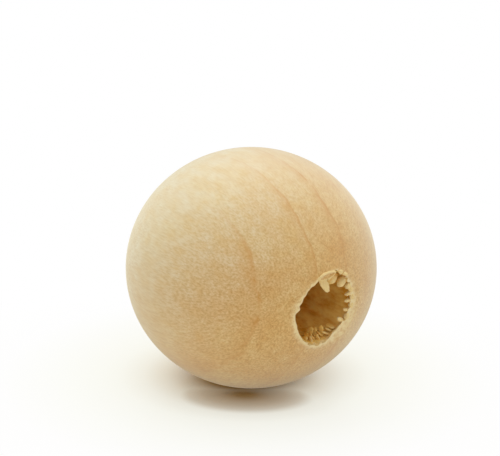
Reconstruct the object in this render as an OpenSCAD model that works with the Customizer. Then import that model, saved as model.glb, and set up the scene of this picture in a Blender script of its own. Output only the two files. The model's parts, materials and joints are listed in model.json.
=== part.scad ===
// Round wooden bead, drilled through along the grain and torn round the mouth where the drill broke out.
// It lies on its side: +Z is up, the bore runs along Y, and the origin is where it touches the table.
// Turned wood goes oval as it dries. It shrinks across the grain, most along the growth rings, and keeps
// its length, so the bead lies on its flatter side.

/* [Bead] */
// Width across the bore, level with the table
bead_width = 12; // [9:0.1:20]
// Length along the bore, from rim to rim
bead_length = 11.48; // [8:0.02:20]
// Height as it lies
bead_height = 11.45; // [9:0.05:20]

/* [Bore] */
// Diameter of the finished bore
bore_diameter = 3.4; // [2:0.1:5]
// Wood that the drill leaves all round for the reamer
ream_allowance = 0.25; // [0.1:0.05:0.5]
// Width of the eased edge round each mouth
edge_width = 0.12; // [0.05:0.01:0.3]

/* [Torn rim] */
// Number of fibre bundles that the drill pulled out of the front rim
chip_count = 22; // [6:1:30]
// Width of the widest bundle at the surface
chip_width = 0.6; // [0.3:0.05:1]
// Depth of the deepest bundle, measured along the bore
chip_depth = 0.6; // [0.2:0.05:1]
// How far the widest bundle bites outwards into the rim
chip_bite = 0.32; // [0.15:0.01:0.5]
// Direction in which the tear reaches farthest, up from level
tear_angle = 65; // [0:5:180]
// Seed of the irregular tear
chip_seed = 7; // [1:1:99]

/* [Hidden] */
$fn = 96;
bore_radius = bore_diameter / 2;

// The oval that the round ball dries to, as shares of its width. The bore cuts a cap off each end,
// so the undrilled ball is longer than the bead.
dried_length = bead_length / sqrt(pow(bead_width, 2) - pow(bore_diameter, 2));
dried_height = bead_height / bead_width;

// Each bundle takes its own share of the full width and depth, and its own turn from even spacing
smallest_share = 0.45;
chip_step = 360 / chip_count;
chip_sizes = rands(smallest_share, 1, chip_count, chip_seed);
chip_depths = rands(smallest_share, 1, chip_count, chip_seed + 1);
chip_turns = rands(-chip_step / 3, chip_step / 3, chip_count, chip_seed + 2);

// Share of the full bite at a given angle round the rim, least at right angles to the tear
function bite_share(angle) = mix(smallest_share, 1, pow(cos(angle - tear_angle), 2));
function mix(low, high, share) = low + (high - low) * share;

// A hole right through along Y
module hole(radius) {
    rotate([90, 0, 0])
        cylinder(h = 3 * bead_length, r = radius, center = true);
}

// One torn-out bundle at the -Y rim: a pit that narrows to half its width as it goes in along the grain
module chip(width, depth, bite) {
    translate([bore_radius + bite - width / 2, depth - bead_length / dried_length / 2, 0])
        rotate([90, 0, 0])
            cylinder(h = 2 * depth, d1 = width / 2, d2 = width * 3 / 2);
}

// The turned ball as it leaves the drill, with the ragged ring of bundles gone round its front mouth
module drilled_ball() {
    difference() {
        rotate([90, 0, 0])
            sphere(d = bead_width);
        hole(bore_radius - ream_allowance);
        for (i = [0 : chip_count - 1]) {
            angle = i * chip_step + chip_turns[i];
            rotate([0, -angle, 0])
                chip(chip_width * chip_sizes[i], chip_depth * chip_depths[i], chip_bite * bite_share(angle));
        }
    }
}

// A cone that breaks the sharp edge of the mouth that faces +Y
module eased_edge() {
    translate([0, bead_length / 2 - edge_width, 0])
        rotate([-90, 0, 0])
            cylinder(h = 2 * edge_width, r1 = bore_radius, r2 = bore_radius + 2 * edge_width);
}

module bead() {
    color("burlywood")
        translate([0, 0, bead_height / 2])
            difference() {
                scale([1, dried_length, dried_height])
                    drilled_ball();
                hole(bore_radius);
                eased_edge();
                mirror([0, 1, 0])
                    eased_edge();
            }
}

bead();
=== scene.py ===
import bmesh
import bpy
import json
import math
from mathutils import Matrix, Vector, kdtree

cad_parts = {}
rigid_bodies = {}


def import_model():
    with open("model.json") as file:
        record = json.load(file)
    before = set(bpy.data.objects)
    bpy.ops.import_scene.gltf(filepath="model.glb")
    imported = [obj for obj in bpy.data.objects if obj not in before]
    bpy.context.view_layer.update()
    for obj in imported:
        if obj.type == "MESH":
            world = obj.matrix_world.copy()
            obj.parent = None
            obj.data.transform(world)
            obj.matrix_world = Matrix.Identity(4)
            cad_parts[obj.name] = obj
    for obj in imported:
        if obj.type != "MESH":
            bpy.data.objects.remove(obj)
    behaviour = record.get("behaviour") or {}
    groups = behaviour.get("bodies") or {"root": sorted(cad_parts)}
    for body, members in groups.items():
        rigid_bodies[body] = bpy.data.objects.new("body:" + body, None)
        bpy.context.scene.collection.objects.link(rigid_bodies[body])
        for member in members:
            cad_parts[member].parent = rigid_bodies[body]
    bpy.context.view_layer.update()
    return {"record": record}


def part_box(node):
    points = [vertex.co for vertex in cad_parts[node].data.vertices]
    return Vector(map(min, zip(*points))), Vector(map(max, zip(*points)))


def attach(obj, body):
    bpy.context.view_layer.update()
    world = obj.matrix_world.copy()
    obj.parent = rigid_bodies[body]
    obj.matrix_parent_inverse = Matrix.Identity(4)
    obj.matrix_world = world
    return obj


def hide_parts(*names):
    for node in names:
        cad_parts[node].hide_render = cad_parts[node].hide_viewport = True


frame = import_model()
scene = bpy.context.scene
scene.view_settings.view_transform = "Standard"

# The turned ball. The bead is turned from one blank of pale, fine-grained hardwood and drilled along the
# grain, which runs along Y. Drying has left it a little lower than it is wide. It is drawn in millimetres
# round its own middle, and comes to its real size and place when it is finished.
metre = 1000
blank_width = 12
low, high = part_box("bead")
middle = (low + high) / 2
bore = frame["record"]["mounts"][0]
bore_radius = bore["dims"]["r_mm"]
ball_radius = (high.x - low.x) / 2 * metre
flatness = (high.z - low.z) / (high.x - low.x)
edge_width = 0.12
rim_at = bore["dims"]["length_mm"] / 2 + edge_width
ball_stretch = rim_at / math.sqrt(ball_radius ** 2 - bore_radius ** 2)

bpy.ops.object.select_all(action="DESELECT")
bpy.ops.mesh.primitive_uv_sphere_add(segments=256, ring_count=96, radius=ball_radius,
                                     rotation=(math.pi / 2, 0, 0))
bead = bpy.context.object
bead.name = "turned_bead"
sanded_wood = bpy.data.materials.new("sanded_wood")
bored_wood = bpy.data.materials.new("bored_wood")
bead.data.materials.append(sanded_wood)
bead.data.materials.append(bored_wood)
bpy.ops.object.transform_apply()
bead.scale = (1, ball_stretch, flatness)
bpy.ops.object.transform_apply()

# The two end caps come off, and the round bore joins the holes that they leave
bpy.ops.object.mode_set(mode="EDIT")
for side in (-1, 1):
    bpy.ops.mesh.select_all(action="SELECT")
    bpy.ops.mesh.bisect(plane_co=(0, side * rim_at, 0), plane_no=(0, side, 0), clear_outer=True)
bpy.ops.mesh.select_mode(type="EDGE")
bpy.ops.mesh.select_all(action="DESELECT")
bpy.ops.mesh.select_non_manifold()
bpy.ops.transform.resize(value=(1, 1, 1 / flatness))
bore_rings = 36
bpy.ops.mesh.bridge_edge_loops(number_cuts=bore_rings)
bead.active_material_index = 1
bpy.ops.object.material_slot_assign()

# The far mouth has a small eased edge
rim_slack = 0.001
bpy.ops.mesh.select_all(action="DESELECT")
edited = bmesh.from_edit_mesh(bead.data)
for edge in edited.edges:
    on_far_rim = all(end.co.y > rim_at - rim_slack for end in edge.verts)
    edge.select_set(on_far_rim)
bpy.ops.mesh.bevel(offset=edge_width, segments=4)

# Rings of faces close together at the front mouth, for the tear
fine_ring = 0.012
coarse_ring = 0.04
fine_to = 0.3
coarse_to = 1.3
ring_depth = 0
while ring_depth < coarse_to:
    ring_depth += fine_ring if ring_depth < fine_to else coarse_ring
    bpy.ops.mesh.select_all(action="SELECT")
    bpy.ops.mesh.bisect(plane_co=(0, ring_depth - rim_at, 0), plane_no=(0, 1, 0), threshold=0.0001)
bpy.ops.mesh.select_all(action="SELECT")
bpy.ops.mesh.normals_make_consistent(inside=False)
bpy.ops.object.mode_set(mode="OBJECT")

# A map of how near each point of the skin and the bore is to the front rim: one on the rim, and nothing
# where the pale lip ends. Each wide place has its angle, how much wider the lip is there, and how
# sharply it narrows on both sides.
lip_everywhere = 0.17
wide_places = [(225, 0.20, 1), (0, 0.22, 1), (-50, 0.35, 4)]
tear_map = bead.data.uv_layers.active or bead.data.uv_layers.new(name="tear")
tear_map.name = "tear"
for loop in bead.data.loops:
    place = bead.data.vertices[loop.vertex_index].co
    angle = math.atan2(place.z, place.x)
    lip_width = lip_everywhere
    for wide_angle, wider, sharpness in wide_places:
        lip_width += wider * max(0, math.cos(angle - math.radians(wide_angle))) ** sharpness
    from_rim = math.hypot(math.hypot(place.x, place.z) - bore_radius, place.y + rim_at)
    tear_map.data[loop.index].uv = (max(0, 1 - from_rim / lip_width), 0.5)

# The torn mouth. The drill was pushed out through this end of the bead, and pulled bundles of fibres from
# the rim instead of cutting them. The tear reaches farthest along the growth rings. On the upper left the
# skin of the ball still hangs in over the bore.
def mouth_point(angle, radius, depth):
    turned = math.radians(angle)
    return Vector((radius * math.cos(turned), depth - rim_at, radius * math.sin(turned)))


# Where the rim was dragged: the angle, how far outwards, how far up out of the bore, and the reach
drags = [
    (0, -0.20, -0.02, 0.45), (12, -0.18, -0.02, 0.45), (24, -0.13, -0.02, 0.45), (36, -0.08, -0.01, 0.45),
    (48, -0.01, -0.01, 0.45), (60, 0.07, -0.01, 0.45), (72, 0.04, -0.01, 0.45), (84, -0.03, 0.00, 0.45),
    (96, -0.09, 0.00, 0.45), (108, -0.16, 0.01, 0.45), (119, -0.20, 0.01, 0.45), (132, -0.19, 0.00, 0.42),
    (143, -0.20, 0.01, 0.45), (156, -0.20, 0.01, 0.42), (168, -0.20, 0.02, 0.25), (179, -0.01, 0.02, 0.22),
    (192, -0.05, 0.02, 0.45), (204, -0.02, 0.02, 0.45), (216, 0.00, 0.02, 0.45), (228, 0.03, 0.02, 0.45),
    (240, 0.06, 0.02, 0.45), (252, 0.06, 0.01, 0.45), (264, 0.02, 0.00, 0.45), (276, -0.05, -0.01, 0.45),
    (289, -0.15, -0.03, 0.45), (300, -0.18, -0.04, 0.50), (312, -0.20, -0.05, 0.50),
    (324, -0.17, -0.04, 0.45), (336, -0.22, -0.03, 0.40), (348, -0.18, -0.02, 0.45),
]
finder = kdtree.KDTree(len(bead.data.vertices))
for vertex in bead.data.vertices:
    finder.insert(vertex.co, vertex.index)
finder.balance()
bpy.ops.object.mode_set(mode="EDIT")
bpy.ops.mesh.select_mode(type="VERT")
for angle, outward, upward, reach in drags:
    bpy.ops.mesh.select_all(action="DESELECT")
    edited = bmesh.from_edit_mesh(bead.data)
    edited.verts.ensure_lookup_table()
    edited.verts[finder.find(mouth_point(angle, bore_radius, 0))[1]].select_set(True)
    pull = mouth_point(angle, outward, -upward) - mouth_point(angle, 0, 0)
    bpy.ops.transform.translate(value=pull, use_proportional_edit=True, proportional_edit_falloff="SMOOTH",
                                proportional_size=reach)
bpy.ops.object.mode_set(mode="OBJECT")

# What the drill pulled out and left standing is drawn with rough, flattened balls. Each has the angle, the
# radius and the depth of its middle, then its size outwards, in depth and along the rim, and the angles
# that it swings in the plane of the mouth and leans down into the bore.
torn_wood = bpy.data.materials.new("torn_wood")
fibre_ends = bpy.data.textures.new("fibre_ends", "CLOUDS")
fibre_ends.noise_scale = 0.09


def work_mouth(operation, balls, roughness, material):
    tools = bpy.data.collections.new(operation)
    for angle, radius, depth, outward, inward, along, swing, lean in balls:
        bpy.ops.object.select_all(action="DESELECT")
        bpy.ops.mesh.primitive_ico_sphere_add(subdivisions=4, radius=0.5, scale=(outward, inward, along),
                                              location=mouth_point(angle, radius, depth))
        ball = bpy.context.object
        ball.rotation_mode = "ZYX"
        ball.rotation_euler = (0, -math.radians(angle + swing), math.radians(lean))
        bpy.ops.object.transform_apply()
        ball.data.materials.append(material)
        roughen = ball.modifiers.new("roughen", "DISPLACE")
        roughen.texture = fibre_ends
        roughen.strength = roughness
        bpy.ops.object.modifier_apply(modifier="roughen")
        tools.objects.link(ball)
    bpy.ops.object.select_all(action="DESELECT")
    bpy.context.view_layer.objects.active = bead
    bead.select_set(True)
    cut = bead.modifiers.new("cut", "BOOLEAN")
    cut.operation = operation
    cut.operand_type = "COLLECTION"
    cut.collection = tools
    cut.solver = "MANIFOLD"
    cut.material_mode = "TRANSFER"
    bpy.ops.object.modifier_apply(modifier="cut")
    for ball in list(tools.objects):
        bpy.data.objects.remove(ball)


# Bundles pulled out of the rim, deepest on the right, and small chips along the left
work_mouth("DIFFERENCE", [
    (-37, 1.42, 0.05, 0.36, 0.80, 0.18, 8, 0), (-24, 1.30, 0.05, 0.28, 0.90, 0.26, -6, 0),
    (-12, 1.35, 0.05, 0.30, 1.00, 0.18, 0, 0), (-2, 1.34, 0.05, 0.30, 0.80, 0.24, 5, 0),
    (9, 1.36, 0.05, 0.32, 0.90, 0.20, -8, 0), (20, 1.43, 0.05, 0.34, 1.00, 0.26, 0, 0),
    (32, 1.54, 0.05, 0.28, 0.90, 0.24, 10, 0), (43, 1.60, 0.05, 0.28, 0.90, 0.22, 0, 0),
    (55, 1.72, 0.05, 0.26, 0.80, 0.36, 0, 0), (70, 1.70, 0.05, 0.24, 0.70, 0.36, 0, 0),
    (-64, 1.44, 0.03, 0.10, 0.40, 0.50, 0, 0), (118, 1.38, 0.00, 0.06, 0.16, 0.40, 4, 0),
    (147, 1.37, 0.00, 0.06, 0.16, 0.30, -5, 0), (166, 1.34, 0.00, 0.06, 0.16, 0.20, 0, 0),
    (182, 1.54, 0.00, 0.10, 0.40, 0.26, 0, 0), (204, 1.62, 0.00, 0.08, 0.40, 0.40, 4, 0),
    (226, 1.70, 0.00, 0.10, 0.50, 0.30, -6, 0), (241, 1.75, 0.00, 0.12, 0.60, 0.30, 4, 0),
    (256, 1.74, 0.00, 0.14, 0.60, 0.32, 0, 0), (270, 1.66, 0.00, 0.16, 0.60, 0.30, 6, 0),
], 0.05, torn_wood)

# What still hangs on: a flap and a curled flake of skin at the top, a clump of fibres beside them, the
# teeth down the right side, a half-torn chip and the fine fibres at the bottom
work_mouth("UNION", [
    (90, 1.22, 0.16, 1.08, 0.13, 0.40, 23, 12),
    (87, 1.58, 0.03, 0.38, 0.20, 1.06, 9, -6),
    (58, 1.38, 0.62, 0.72, 0.70, 0.62, 0, 20), (40, 1.48, 0.28, 0.60, 0.40, 0.36, 0, 15),
    (27, 1.56, 0.14, 0.30, 0.30, 0.24, 6, 15), (72, 1.50, 0.44, 0.62, 0.40, 0.40, 0, 20),
    (19, 1.60, 0.08, 0.20, 0.20, 0.26, -8, 0), (5, 1.60, 0.10, 0.20, 0.22, 0.30, 6, 0),
    (-10, 1.58, 0.10, 0.22, 0.24, 0.28, -5, 0), (-30, 1.54, 0.10, 0.22, 0.24, 0.34, 4, 0),
    (62, 1.80, 0.00, 0.22, 0.14, 0.26, 0, 0), (52, 1.76, 0.00, 0.22, 0.16, 0.24, 0, 0),
    (13, 1.46, 0.14, 0.34, 0.26, 0.14, 4, 10),
    (-1, 1.42, 0.14, 0.42, 0.22, 0.16, 0, 8), (-19, 1.46, 0.18, 0.46, 0.24, 0.15, 5, 8),
    (-41, 1.38, 0.20, 0.42, 0.20, 0.20, 8, 5),
    (-66, 1.56, 0.50, 0.50, 0.30, 0.10, 34, 0), (-74, 1.58, 0.42, 0.64, 0.24, 0.09, 44, 0),
    (-82, 1.60, 0.60, 0.60, 0.34, 0.10, 38, 0), (-91, 1.62, 0.44, 0.56, 0.26, 0.08, 24, 0),
    (-99, 1.64, 0.62, 0.60, 0.34, 0.10, 34, 0), (-107, 1.70, 0.40, 0.46, 0.24, 0.09, 10, 0),
    (-115, 1.70, 0.55, 0.46, 0.30, 0.10, -12, 0), (-88, 1.56, 0.85, 0.56, 0.34, 0.10, -20, 0),
    (-78, 1.52, 0.70, 0.66, 0.40, 0.12, -10, 10), (-96, 1.54, 0.95, 0.60, 0.40, 0.12, -30, 10),
    (-58, 1.58, 0.60, 0.46, 0.50, 0.14, 50, 0), (-104, 1.66, 0.80, 0.50, 0.40, 0.14, 16, 0),
], 0.09, torn_wood)

# The hollow of the curled flake, and the crack behind the clump
work_mouth("DIFFERENCE", [
    (87, 1.59, -0.08, 0.24, 0.20, 0.88, 9, -6), (56, 1.62, 0.05, 0.15, 0.60, 0.62, 18, 0),
], 0.03, sanded_wood)

# The finished mesh comes to its real size and place
sharp_edge = math.radians(40)
bead.scale = (1 / metre, 1 / metre, 1 / metre)
bead.location = middle
bpy.ops.object.transform_apply()
bpy.ops.object.shade_smooth_by_angle(angle=sharp_edge)

# The wood. It is bare and sanded, cut from a sapwood blank: fine fibres along the bore, which show as
# streaks on the sides and as dots on the ends, four faint growth rings across the blank, and soft
# orange-brown clouds. Drilled wood is darker, and freshly torn wood is pale.
def add_node(tree, kind, inputs=(), **settings):
    added = tree.nodes.new(kind)
    for name, value in settings.items():
        setattr(added, name, value)
    for name, value in dict(inputs).items():
        if isinstance(value, bpy.types.NodeSocket):
            tree.links.new(value, added.inputs[name])
        else:
            added.inputs[name].default_value = value
    return added


def calculate(tree, operation, first, second=0.0, third=0.0):
    return add_node(tree, "ShaderNodeMath", {0: first, 1: second, 2: third}, operation=operation).outputs[0]


def speckle(tree, place, stretch, scale, detail=3.0, roughness=0.6):
    stretched = add_node(tree, "ShaderNodeMapping", {"Vector": place, "Scale": stretch})
    noise = add_node(tree, "ShaderNodeTexNoise", {"Vector": stretched.outputs[0], "Scale": scale,
                                                  "Detail": detail, "Roughness": roughness})
    return noise.outputs["Fac"]


def along(tree, place, direction):
    return add_node(tree, "ShaderNodeVectorMath", {0: place, 1: direction},
                    operation="DOT_PRODUCT").outputs["Value"]


def across_blank(tree, value):
    return calculate(tree, "MULTIPLY_ADD", value, 1 / blank_width, 0.5)


def ramp(tree, value, stops):
    added = add_node(tree, "ShaderNodeValToRGB", {"Fac": value})
    while len(added.color_ramp.elements) < len(stops):
        added.color_ramp.elements.new(0.5)
    for element, (position, shade) in zip(added.color_ramp.elements, stops):
        element.position = position
        element.color = shade if isinstance(shade, tuple) else (shade, shade, shade, 1)
    return added.outputs[0]


def blend(tree, share, first, second, blend_type="MIX"):
    mixed = add_node(tree, "ShaderNodeMix", {"Factor": share}, data_type="RGBA", blend_type=blend_type)
    for socket, value in ((mixed.inputs[6], first), (mixed.inputs[7], second)):
        if isinstance(value, bpy.types.NodeSocket):
            tree.links.new(value, socket)
        else:
            socket.default_value = value
    return mixed.outputs[2]


pale = (0.785, 0.518, 0.184, 1)
deep = (0.695, 0.385, 0.094, 1)
cloud = (0.700, 0.350, 0.062, 1)
cloud_patch = Vector((-4.3, -3.3, 1.8))
paler_tone = (0.765, 0.665, 0.425, 1)
paler_way = Vector((-0.68, 0.15, 0.71))
# The flecks' pale end is partly the fibre ends' own colour and partly a painted sheen of raised fibres
fleck_and_sheen_colours = [(0.32, (0.80, 0.67, 0.35, 1)), (0.50, (0.99, 0.97, 0.92, 1)), (0.68, (1.11, 1.20, 1.48, 1))]
mottle_colours = [(0.30, (0.97, 0.90, 0.70, 1)), (0.70, (1.03, 1.10, 1.22, 1))]
ring_brown = (0.620, 0.255, 0.008, 1)
ring_way = Vector((0.969, 0.19, -0.138))
rings = [(-4.15, 0.75), (-1.84, 0.85), (-0.03, 1.0), (1.7, 0.35)]
drilled = (0.765, 0.390, 0.045, 1)
drilled_pale = (1.000, 0.710, 0.210, 1)
drilled_gold = (1.000, 0.700, 0.220, 1)
floor_to_roof = Vector((-0.28, 0, 0.55))
fresh = (0.920, 0.730, 0.370, 1)


def make_wood(material, gloss, nap):
    material.use_nodes = True
    tree = material.node_tree
    surface = tree.nodes["Principled BSDF"]
    coordinates = add_node(tree, "ShaderNodeTexCoord")
    place = add_node(tree, "ShaderNodeMapping", {"Vector": coordinates.outputs["Object"],
                                                 "Location": -middle * metre,
                                                 "Scale": (metre, metre, metre)}).outputs[0]
    parts = add_node(tree, "ShaderNodeSeparateXYZ", {"Vector": place})

    # Fibres, with clouds among them and a patch of cloud on the left of the torn mouth
    fibres = speckle(tree, place, (1, 0.09, 1), 5.5, 4.0, 0.62)
    flecks = speckle(tree, place, (1, 0.14, 1), 13.5, 2.0, 0.6)
    clouds = speckle(tree, place, (1, 0.6, 1), 0.42, 3.0, 0.55)
    body = blend(tree, ramp(tree, fibres, [(0.30, 0.0), (0.70, 1.0)]), deep, pale)
    body = blend(tree, ramp(tree, clouds, [(0.42, 0.0), (0.68, 0.55)]), body, cloud)
    from_patch = add_node(tree, "ShaderNodeVectorMath", {0: place, 1: cloud_patch}, operation="DISTANCE")
    from_patch = calculate(tree, "MULTIPLY_ADD", clouds, -5.0, from_patch.outputs["Value"])
    patch = ramp(tree, calculate(tree, "MULTIPLY_ADD", from_patch, 0.2, 0.5), [(0.2, 1.0), (0.75, 0.0)])
    body = blend(tree, patch, body, cloud)

    # The wood is paler and creamier towards the top on its −X side, and cut fibre ends show as flecks, most
    # of all on the end grain and least near the top
    toward_paler = across_blank(tree, along(tree, place, paler_way))
    body = blend(tree, ramp(tree, toward_paler, [(0.55, 0.0), (0.97, 0.72)]), body, paler_tone)
    end_grain = calculate(tree, "MULTIPLY", calculate(tree, "ABSOLUTE", parts.outputs["Y"]), 2 / blank_width)
    height_up = across_blank(tree, parts.outputs["Z"])
    dotted = calculate(tree, "MULTIPLY", ramp(tree, end_grain, [(0.1, 0.4), (0.85, 1.0)]),
                       ramp(tree, height_up, [(0.6, 1.0), (0.95, 0.45)]))
    # The pale flecks are partly the fibre ends' own colour and partly a painted sheen on raised fibres
    body = blend(tree, dotted, body, ramp(tree, flecks, fleck_and_sheen_colours), "MULTIPLY")
    mottle = speckle(tree, place, (1, 0.6, 1), 1.7, 2.0, 0.6)
    body = blend(tree, 1.0, body, ramp(tree, mottle, mottle_colours), "MULTIPLY")

    # Growth rings: faint lines at given places across the blank, a little wavy and broken. Each darkens
    # slowly from one side, ends sharply on the other, and fades where the wood turns paler.
    wave = calculate(tree, "MULTIPLY_ADD", speckle(tree, place, (1, 0.3, 1), 0.5, 3.0), 0.9, -0.45)
    ring_place = across_blank(tree, calculate(tree, "ADD", along(tree, place, ring_way), wave))
    stops = []
    for distance_over, brown in rings:
        line = distance_over / blank_width + 0.5
        stops += [(line - 0.045, 0.0), (line - 0.007, brown * 0.35), (line, brown), (line + 0.005, 0.0)]
    breaks = ramp(tree, speckle(tree, place, (1, 0.4, 1), 1.6, 3.0), [(0.35, 0.25), (0.6, 1.0)])
    ring_lines = calculate(tree, "MULTIPLY", ramp(tree, ring_place, stops), breaks)
    ring_lines = calculate(tree, "MULTIPLY", ring_lines, ramp(tree, toward_paler, [(0.76, 1.0), (0.92, 0.1)]))
    body = blend(tree, ring_lines, body, ring_brown)

    # The bore is brown and blotched, and golden where its floor is torn near the front mouth
    depth = calculate(tree, "ADD", parts.outputs["Y"], rim_at)
    blotches = ramp(tree, speckle(tree, place, (1, 0.4, 1), 2.2, 4.0), [(0.40, 0.0), (0.62, 1.0)])
    inside = blend(tree, blotches, drilled, drilled_pale)
    below = calculate(tree, "MULTIPLY_ADD", fibres, 0.9, along(tree, place, floor_to_roof))
    below = ramp(tree, calculate(tree, "ADD", below, 1.0), [(0.42, 1.0), (0.75, 0.0)])
    shallow = calculate(tree, "MULTIPLY_ADD", fibres, 0.5, calculate(tree, "MULTIPLY", depth, 0.35))
    shallow = ramp(tree, shallow, [(0.45, 0.9), (0.75, 0.0)])
    inside = blend(tree, calculate(tree, "MULTIPLY", below, shallow), inside, drilled_gold)

    # Torn wood is fresh at the rim and turns to the colour of the bore with depth. The skin and the bore
    # are pale along a ragged lip at the rim.
    if material == torn_wood:
        shade = calculate(tree, "MULTIPLY_ADD", fibres, -0.5, depth)
        body = blend(tree, ramp(tree, shade, [(0.0, 0.1), (0.3, 0.95)]), fresh, inside)
    else:
        near_rim = add_node(tree, "ShaderNodeUVMap", uv_map="tear").outputs[0]
        near_rim = add_node(tree, "ShaderNodeSeparateXYZ", {"Vector": near_rim}).outputs["X"]
        ragged = calculate(tree, "MULTIPLY_ADD", speckle(tree, place, (1, 0.5, 1), 4.5, 4.0), 1.3, -0.62)
        lip = ramp(tree, calculate(tree, "ADD", near_rim, ragged), [(0.15, 0.0), (0.55, 0.35), (0.8, 0.95)])
        body = blend(tree, lip, inside if material == bored_wood else body, fresh)

    # Bare wood is matt, with raised fibres. Only the sanded skin has a nap that catches the light.
    raised = calculate(tree, "MULTIPLY_ADD", flecks, 0.5, fibres)
    bump = add_node(tree, "ShaderNodeBump", {"Height": raised, "Strength": 0.7, "Distance": 0.00002})
    tree.links.new(bump.outputs[0], surface.inputs["Normal"])
    tree.links.new(body, surface.inputs["Base Color"])
    surface.inputs["Roughness"].default_value = 0.55
    surface.inputs["Specular IOR Level"].default_value = gloss
    surface.inputs["Sheen Weight"].default_value = nap
    surface.inputs["Sheen Roughness"].default_value = 0.6
    surface.inputs["Sheen Tint"].default_value = (0.98, 1, 0.88, 1)


make_wood(sanded_wood, gloss=0.5, nap=0.8)
make_wood(bored_wood, gloss=0, nap=0)
make_wood(torn_wood, gloss=0, nap=0)
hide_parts("bead")
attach(bead, "root")

# The table. A sheet of glossy white card. It keeps the bead's shadow and a faint reflection close to the
# bead, and it is plain white to the camera farther off. Close to the bead its colour is painted a darker,
# warm brown and its white a warm cream: painted shade and painted warm light from the wood.
painted_contact_shade = (0.62, 0.43, 0.14, 1)
card_white = (0.82, 0.77, 0.66, 1)
contact_lit = (0.96, 0.93, 0.76, 1)
near_lit = (0.97, 0.98, 0.90, 1)
bpy.ops.object.select_all(action="DESELECT")
bpy.ops.mesh.primitive_plane_add(size=2)
table = bpy.context.object
table.name = "table"
card = bpy.data.materials.new("white_card")
card.use_nodes = True
tree = card.node_tree
surface = tree.nodes["Principled BSDF"]
surface.inputs["Roughness"].default_value = 0.2
ground = add_node(tree, "ShaderNodeTexCoord").outputs["Object"]


# How far each point of the card is from the middle of an oval. It is one on the oval's own edge.
def from_oval(tree, ground, oval_middle, turned, half_sizes):
    oval = add_node(tree, "ShaderNodeMapping", {"Vector": ground, "Location": oval_middle,
                                                "Rotation": (0, 0, math.radians(turned)),
                                                "Scale": half_sizes}, vector_type="TEXTURE")
    return add_node(tree, "ShaderNodeVectorMath", {0: oval.outputs[0]}, operation="LENGTH").outputs["Value"]


# The shadow's outline is painted: the card shows its real shading only inside two ovals, one round the
# contact and one reaching towards the camera, and fades to white across their edges.
from_shadow = from_oval(tree, ground, (-0.00153, -0.0016, 0), -40, (0.036, 0.0196, 1))
from_contact = from_oval(tree, ground, (-0.00029, 0.0002, 0), -35, (0.020, 0.0155, 1))
shadow_edge = ramp(tree, from_shadow, [(0.010, 0.0), (0.034, 0.11), (0.055, 0.19), (0.075, 0.34),
                                       (0.095, 0.72), (0.135, 0.85), (0.24, 0.93), (0.6, 1.0)])
contact_edge = ramp(tree, from_contact, [(0.10, 0.0), (0.14, 0.22), (0.19, 0.50), (0.25, 0.72),
                                         (0.31, 0.86), (0.6, 1.0)])
lit = calculate(tree, "MINIMUM", shadow_edge, contact_edge)
# The card's colour is a painted warm shade near the bead, and plain card farther off
tree.links.new(ramp(tree, from_contact, [(0.1, painted_contact_shade), (0.35, card_white)]),
               surface.inputs["Base Color"])
away = calculate(tree, "MULTIPLY", lit, add_node(tree, "ShaderNodeLightPath").outputs["Is Camera Ray"])
# The white is tinted cream near the bead: a painted warm reflection of the wood
warm = ramp(tree, from_contact, [(0.1, contact_lit), (0.24, near_lit), (0.6, (1, 1, 1, 1))])
white = add_node(tree, "ShaderNodeEmission", {"Color": warm, "Strength": 1.0})
mixed = add_node(tree, "ShaderNodeMixShader", {0: away, 1: surface.outputs[0], 2: white.outputs[0]})
tree.links.new(mixed.outputs[0], tree.nodes["Material Output"].inputs["Surface"])
table.data.materials.append(card)

# The light. A white room, and a wide soft box above and behind the bead. The camera and the reflections
# see the room as plain white, and the wood and the card get less light from it.
room = bpy.data.worlds.new("white_room")
scene.world = room
room.use_nodes = True
tree = room.node_tree
path = add_node(tree, "ShaderNodeLightPath")
seen = calculate(tree, "MAXIMUM", path.outputs["Is Camera Ray"], path.outputs["Is Glossy Ray"])
room_light = 0.695
strength = calculate(tree, "MULTIPLY_ADD", seen, 1 - room_light, room_light)
tree.links.new(strength, tree.nodes["Background"].inputs["Strength"])
tree.nodes["Background"].inputs["Color"].default_value = (1, 1, 1, 1)
bpy.ops.object.light_add(type="AREA", location=(0.045, 0.115, 0.28))
soft_box = bpy.context.object
soft_box.name = "soft_box"
soft_box.rotation_euler = (middle - soft_box.location).to_track_quat("-Z", "Y").to_euler()
soft_box.data.size = 0.3
soft_box.data.energy = 0.52

# The camera. It looks down a little on the torn mouth from its left, through a long lens, and its aim is
# slightly above the middle of the bead.
azimuth = math.radians(-35.2)
elevation = math.radians(21.8)
distance = 0.06659
aim_up = 0.00187
aim_right = -0.00006
back = Vector((math.sin(azimuth) * math.cos(elevation), -math.cos(azimuth) * math.cos(elevation),
               math.sin(elevation)))
turn = back.to_track_quat("Z", "Y")
bpy.ops.object.camera_add()
camera = bpy.context.object
camera.data.lens = 100
camera.data.clip_start = 0.005
camera.data.clip_end = 5
camera.rotation_mode = "QUATERNION"
camera.rotation_quaternion = turn
camera.location = middle + back * distance + turn @ Vector((aim_right, aim_up, 0))
scene.camera = camera
